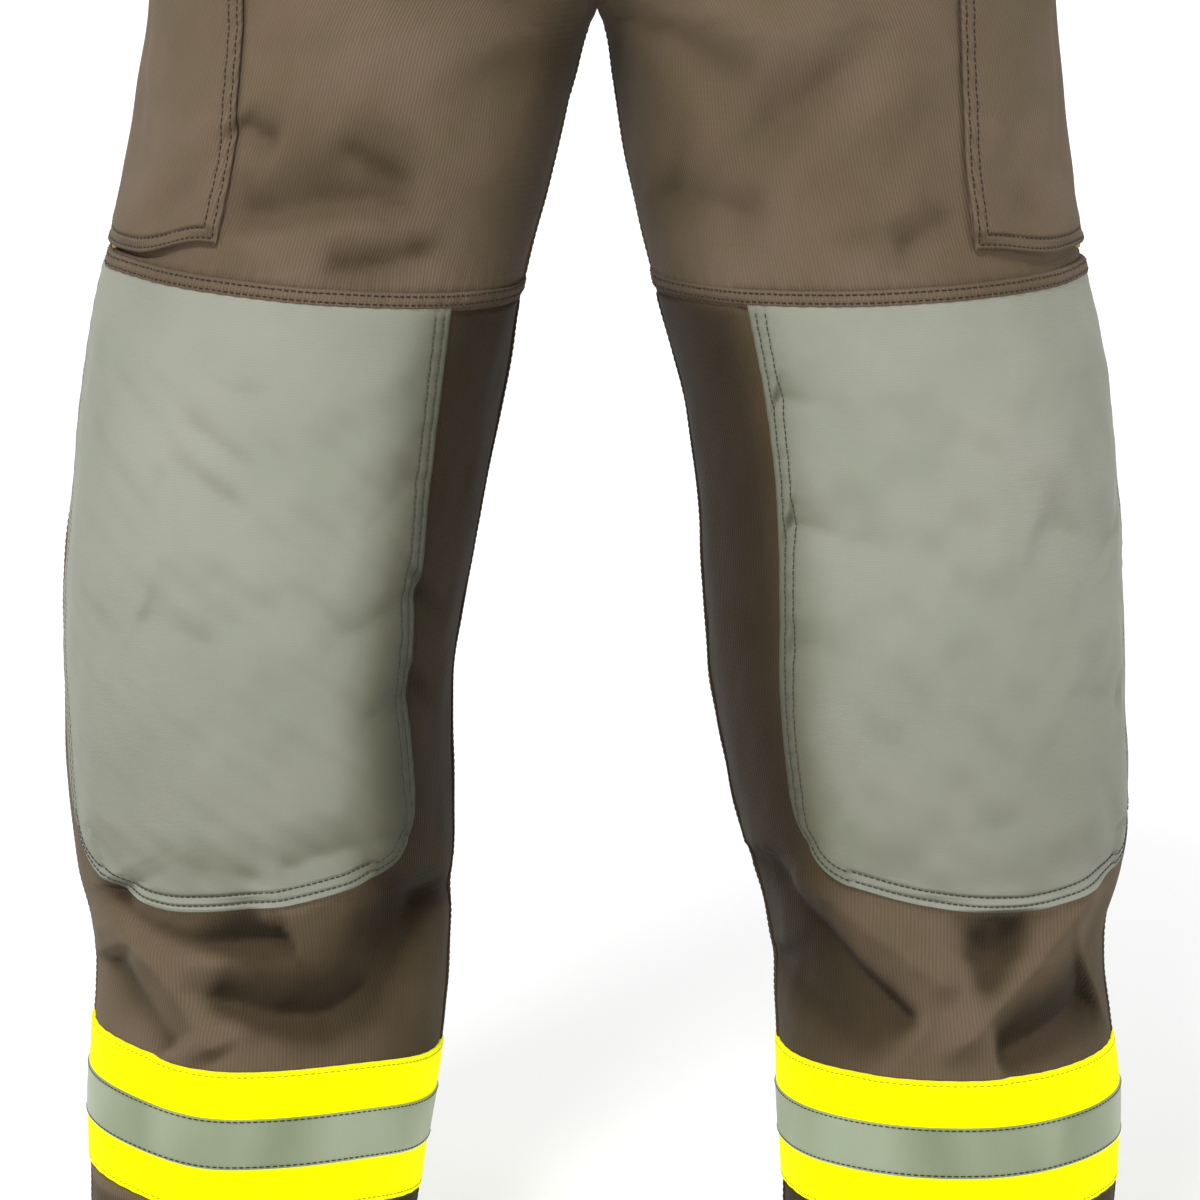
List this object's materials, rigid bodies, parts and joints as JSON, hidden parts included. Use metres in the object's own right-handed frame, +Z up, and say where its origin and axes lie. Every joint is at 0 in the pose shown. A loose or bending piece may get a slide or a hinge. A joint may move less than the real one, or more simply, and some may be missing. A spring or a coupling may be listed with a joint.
{
  "type": "bunker pants",
  "caption": "Firefighter's bunker trousers: aramid outer shell, coated knee patches, bellows pockets, lime and silver cuff trim, waistband with suspender buttons and quilted liner.",
  "frame": {"origin": "centre of the waist opening, level with the front of the waistband; the trousers hang from it", "axes": "+Z up, -Y the wearer's front, +X the wearer's left"},
  "size_m": [0.5453, 0.3057, 1.032],
  "materials": {
    "shell": "matte ribbed weave",
    "coated_patch": "matte coated",
    "foam": "matte",
    "lime_trim": "fluorescent",
    "silver_trim": "retroreflective",
    "moisture_barrier": "matte",
    "thermal_liner": "quilted",
    "black_webbing": "ribbed",
    "steel": "satin",
    "brass": "satin"
  },
  "bodies": {
    "trousers": {"left_thigh_front": "shell", "left_thigh_back": "shell", "right_thigh_front": "shell", "right_thigh_back": "shell", "left_knee_shell": "shell", "right_knee_shell": "shell", "left_knee_patch": "coated_patch", "right_knee_patch": "coated_patch", "left_knee_pad": "foam", "right_knee_pad": "foam", "barrier_seat": "moisture_barrier", "left_barrier_knee": "moisture_barrier", "right_barrier_knee": "moisture_barrier", "liner_seat": "thermal_liner", "left_liner_knee": "thermal_liner", "right_liner_knee": "thermal_liner", "left_pocket_face": "shell", "right_pocket_face": "shell", "left_pocket_bellows": "shell", "right_pocket_bellows": "shell", "pocket_loop_strips": "black_webbing", "pocket_grommets": "brass", "left_front_waistband": "shell", "right_front_waistband": "shell", "back_waistband": "shell", "suspender_buttons": "steel", "hanging_loop": "black_webbing", "left_strap_buckle": "steel", "right_strap_buckle": "steel", "zip_tapes": "black_webbing", "zip_teeth": "brass", "dee_tab": "black_webbing", "waist_hook": "steel"},
    "left_shin": {"left_shin_front": "shell", "left_shin_back": "shell", "left_trim_tape": "lime_trim", "left_trim_stripe": "silver_trim", "left_cuff_binding": "coated_patch", "left_barrier_shin": "moisture_barrier", "left_liner_shin": "thermal_liner"},
    "left_flap": {"left_pocket_flap": "shell", "left_flap_hook_strip": "black_webbing", "left_flap_pull_tab": "black_webbing"},
    "left_strap": {"left_waist_strap": "black_webbing"},
    "right_shin": {"right_shin_front": "shell", "right_shin_back": "shell", "right_trim_tape": "lime_trim", "right_trim_stripe": "silver_trim", "right_cuff_binding": "coated_patch", "right_barrier_shin": "moisture_barrier", "right_liner_shin": "thermal_liner"},
    "right_flap": {"right_pocket_flap": "shell", "right_flap_hook_strip": "black_webbing", "right_flap_pull_tab": "black_webbing"},
    "right_strap": {"right_waist_strap": "black_webbing"},
    "fly": {"fly_flap": "shell", "fly_hook_strip": "black_webbing"},
    "slider": {"zip_slider": "brass"},
    "pull": {"zip_pull": "brass"},
    "dee": {"dee_ring": "steel"}
  },
  "joints": [
    {"name": "left_knee", "type": "hinge", "parent": "trousers", "child": "left_shin", "pos_m": [0.165, 0.008, -0.575], "axis": [1, 0, 0], "range_deg": [0, 100], "deforming": ["left_knee_shell", "left_knee_patch", "left_knee_pad", "left_barrier_knee", "left_liner_knee"]},
    {"name": "right_knee", "type": "hinge", "parent": "trousers", "child": "right_shin", "pos_m": [-0.165, 0.008, -0.575], "axis": [1, 0, 0], "range_deg": [0, 100], "deforming": ["right_knee_shell", "right_knee_patch", "right_knee_pad", "right_barrier_knee", "right_liner_knee"]},
    {"name": "left_flap_hinge", "type": "hinge", "parent": "trousers", "child": "left_flap", "pos_m": [0.2137, 0.0073, -0.154], "axis": [0, -1, 0], "range_deg": [0, 110]},
    {"name": "right_flap_hinge", "type": "hinge", "parent": "trousers", "child": "right_flap", "pos_m": [-0.2129, 0.0073, -0.154], "axis": [0, 1, 0], "range_deg": [0, 110]},
    {"name": "left_strap_slide", "type": "hinge", "parent": "trousers", "child": "left_strap", "pos_m": [0.072, 0, -0.006], "axis": [0, -0.1305, 0.9914], "range_deg": [-8, 15]},
    {"name": "right_strap_slide", "type": "hinge", "parent": "trousers", "child": "right_strap", "pos_m": [-0.072, 0, -0.006], "axis": [0, 0.1305, -0.9914], "range_deg": [-8, 15]},
    {"name": "fly_hinge", "type": "hinge", "parent": "trousers", "child": "fly", "pos_m": [0.0352, -0.1397, -0.12], "axis": [0, 0, 1], "range_deg": [0, 110]},
    {"name": "zip_slide", "type": "slide", "parent": "trousers", "child": "slider", "axis": [0, 0, 1], "range_m": [-0.124, 0]},
    {"name": "zip_pull_hinge", "type": "hinge", "parent": "slider", "child": "pull", "pos_m": [0, -0.1456, -0.0535], "axis": [1, 0, 0], "range_deg": [-8, 0]},
    {"name": "dee_hinge", "type": "hinge", "parent": "trousers", "child": "dee", "pos_m": [0.02, -0.1369, -0.021], "axis": [0, 0, 1], "range_deg": [0, 140]}
  ]
}
